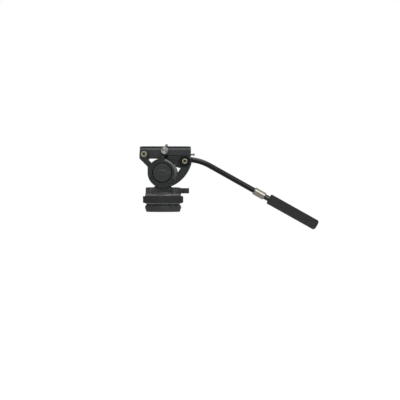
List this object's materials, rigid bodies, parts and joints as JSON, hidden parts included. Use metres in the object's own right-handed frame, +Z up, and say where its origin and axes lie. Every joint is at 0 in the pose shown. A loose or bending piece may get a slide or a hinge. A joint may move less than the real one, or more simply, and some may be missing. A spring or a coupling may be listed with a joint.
{
  "type": "fluid video head",
  "caption": "Fluid video head with rotating pan base, tilt drum between hook-shaped side plates, sliding dovetail camera plate with lock knob, and a bent telescopic pan handle with foam grip.",
  "frame": {"origin": "mouth of the tripod thread, in the middle of the base face", "axes": "+Z up along the pan axis, +X to the rear towards the operator and the handle, +Y to the operator's right"},
  "size_m": [0.4167, 0.1124, 0.1976],
  "materials": {
    "cast_black": "fine matt black coat on cast aluminium",
    "anodised_black": "satin black anodised extrusion",
    "satin_metal": "satin grey machined",
    "rubber_black": "matt",
    "steel": "machined",
    "brass": "satin",
    "plastic_black": "fine grain",
    "blackened_steel": "blackened, toothed",
    "turned_aluminium": "turned and bead blasted",
    "gloss_black": "gloss black enamel on aluminium tube",
    "vial": "clear",
    "nylon": "plain"
  },
  "bodies": {
    "base": {"base_ring": "cast_black", "thread_insert": "steel", "base_screws": "steel", "pan_spindle": "steel", "pan_stator": "steel", "spindle_washer": "steel", "spindle_nut": "steel"},
    "pan_drag": {"drag_ring": "satin_metal", "drag_band": "rubber_black"},
    "pan": {"pan_housing": "cast_black", "pan_bush": "brass", "pan_rotor": "brass", "level_cup": "plastic_black", "level_vial": "vial", "cap_left": "satin_metal", "dial_bezel": "plastic_black", "cap_right": "satin_metal", "cap_screws": "steel", "tilt_bushes": "brass", "tilt_stator": "steel"},
    "pan_lock": {"pan_lock_knob": "plastic_black", "pan_lock_screw": "steel"},
    "pan_brake": {"pan_brake_shoe": "brass"},
    "tilt_drag": {"drag_dial": "plastic_black", "dial_stem": "steel"},
    "tilt": {"side_plate_left": "cast_black", "side_plate_right": "cast_black", "clamp_body": "anodised_black", "rear_bracket": "cast_black", "bracket_screws": "steel", "tilt_axle": "steel", "tilt_rotor": "brass", "front_inserts": "brass", "rear_inserts": "brass", "rosette_left": "blackened_steel", "rosette_right": "blackened_steel", "bevel_pins": "steel", "counter_spring": "steel"},
    "tilt_lock": {"tilt_lock_knob": "plastic_black", "tilt_lock_bush": "brass"},
    "plate": {"camera_plate": "anodised_black", "plate_pads": "rubber_black"},
    "screw": {"camera_screw": "steel"},
    "plate_lock": {"plate_lock_knob": "turned_aluminium", "plate_lock_screw": "steel"},
    "jaw": {"plate_jaw": "brass"},
    "safety": {"safety_button": "turned_aluminium", "safety_plunger": "steel", "safety_spring": "steel"},
    "handle": {"handle_eye": "cast_black", "handle_tube": "gloss_black"},
    "handle_lock": {"handle_lock_knob": "plastic_black", "handle_lock_screw": "steel"},
    "collar": {"lock_collar": "turned_aluminium", "collar_collet": "nylon"},
    "grip": {"inner_tube": "steel", "grip_ferrule": "gloss_black", "grip": "rubber_black", "grip_cap": "rubber_black"}
  },
  "joints": [
    {"name": "pan", "type": "hinge", "parent": "base", "child": "pan", "pos_m": [0, 0, 0.048], "axis": [0, 0, 1], "continuous": true},
    {"name": "pan_drag_turn", "type": "hinge", "parent": "base", "child": "pan_drag", "pos_m": [0, 0, 0.03], "axis": [0, 0, 1], "range_deg": [-120, 120]},
    {"name": "pan_lock_turn", "type": "hinge", "parent": "pan", "child": "pan_lock", "pos_m": [0.05, 0, 0.0483], "axis": [-1, 0, 0], "range_deg": [0, 120]},
    {"name": "pan_brake_slide", "type": "slide", "parent": "pan", "child": "pan_brake", "axis": [-1, 0, 0], "range_m": [0, 0.0003333]},
    {"name": "tilt", "type": "hinge", "parent": "pan", "child": "tilt", "pos_m": [0, 0, 0.088], "axis": [0, -1, 0], "range_deg": [-45, 90], "deforming": ["counter_spring"]},
    {"name": "tilt_drag_turn", "type": "hinge", "parent": "pan", "child": "tilt_drag", "pos_m": [0, -0.04, 0.088], "axis": [0, -1, 0], "range_deg": [-120, 120]},
    {"name": "tilt_lock_turn", "type": "hinge", "parent": "tilt", "child": "tilt_lock", "pos_m": [0, 0.046, 0.088], "axis": [0, 1, 0], "range_deg": [0, 180]},
    {"name": "plate_slide", "type": "slide", "parent": "tilt", "child": "plate", "axis": [1, 0, 0], "range_m": [-0.025, 0.025]},
    {"name": "camera_screw_turn", "type": "hinge", "parent": "plate", "child": "screw", "pos_m": [0.00775, 0, 0.148], "axis": [0, 0, 1], "continuous": true},
    {"name": "plate_lock_turn", "type": "hinge", "parent": "tilt", "child": "plate_lock", "pos_m": [0.00495, -0.035, 0.1382], "axis": [0, -1, 0], "range_deg": [0, 360]},
    {"name": "jaw_slide", "type": "slide", "parent": "tilt", "child": "jaw", "axis": [0, -1, 0], "range_m": [0, 0.0008]},
    {"name": "safety_push", "type": "slide", "parent": "tilt", "child": "safety", "axis": [-1, 0, 0], "range_m": [0, 0.003], "stiffness_N_per_m": 350, "springref_m": -0.006, "deforming": ["safety_spring"]},
    {"name": "handle_angle", "type": "hinge", "parent": "tilt", "child": "handle", "pos_m": [0.0507, 0.0459, 0.1141], "axis": [0, -1, 0], "range_deg": [-30, 75]},
    {"name": "handle_lock_turn", "type": "hinge", "parent": "tilt", "child": "handle_lock", "pos_m": [0.0507, 0.058, 0.1141], "axis": [0, 1, 0], "range_deg": [0, 360]},
    {"name": "collar_turn", "type": "hinge", "parent": "handle", "child": "collar", "pos_m": [0.22491, 0.0459, 0.04292], "axis": [0.8721, 0, -0.4894], "range_deg": [0, 90]},
    {"name": "handle_extend", "type": "slide", "parent": "handle", "child": "grip", "axis": [0.8721, 0, -0.4894], "range_m": [0, 0.08]}
  ],
  "couplings": [
    {"joint": "pan_lock_turn", "follows": "pan_brake_slide", "rad_per_m": 6283.2},
    {"joint": "plate_lock_turn", "follows": "jaw_slide", "rad_per_m": 7854}
  ]
}
